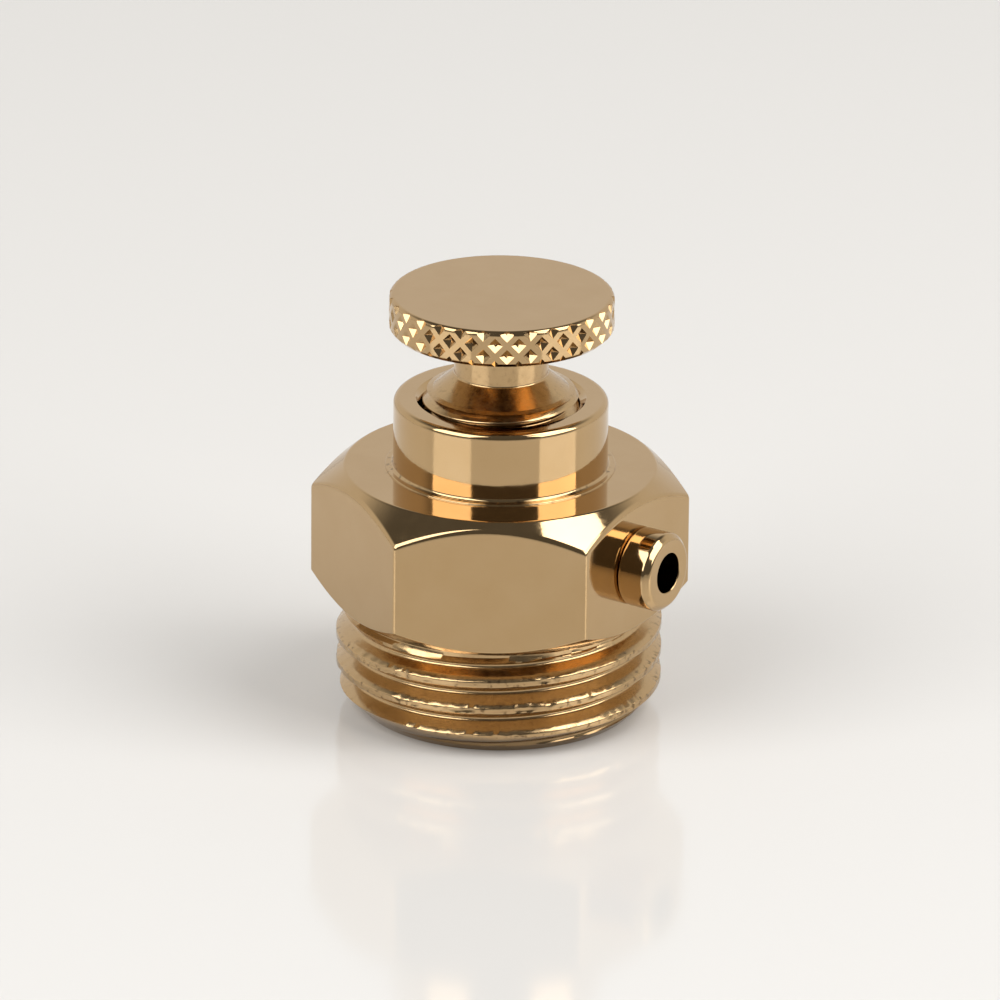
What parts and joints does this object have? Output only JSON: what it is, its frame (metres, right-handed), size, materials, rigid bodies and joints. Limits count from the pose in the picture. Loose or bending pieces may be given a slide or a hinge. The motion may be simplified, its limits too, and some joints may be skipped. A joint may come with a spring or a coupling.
{
  "type": "radiator bleed valve",
  "caption": "Polished brass manual air bleed valve with a knurled knob screw, chamfered hexagon body, side outlet nozzle and male half-inch pipe thread.",
  "frame": {"origin": "on the valve's axis, in the plane of the spigot's end face", "axes": "+Z along the axis up to the knob, +X out along the outlet nozzle"},
  "size_m": [0.0233, 0.0242, 0.0277],
  "materials": {
    "polished_brass": "polished",
    "black_rubber": "matte"
  },
  "bodies": {
    "valve": {"valve_body": "polished_brass", "outlet_nozzle": "polished_brass"},
    "stem_seal": {"stem_o_ring": "black_rubber"},
    "screw": {"bleed_screw": "polished_brass", "seat_pad": "black_rubber"}
  },
  "joints": [
    {"name": "seal_lift", "type": "slide", "parent": "valve", "child": "stem_seal", "axis": [0, 0, 1], "range_m": [0, 0.002]},
    {"name": "screw_turn", "type": "hinge", "parent": "stem_seal", "child": "screw", "pos_m": [0, 0, 0.0125], "axis": [0, 0, 1], "range_deg": [0, 720]}
  ],
  "couplings": [
    {"joint": "seal_lift", "follows": "screw_turn", "m_per_rad": 0.00015915}
  ]
}
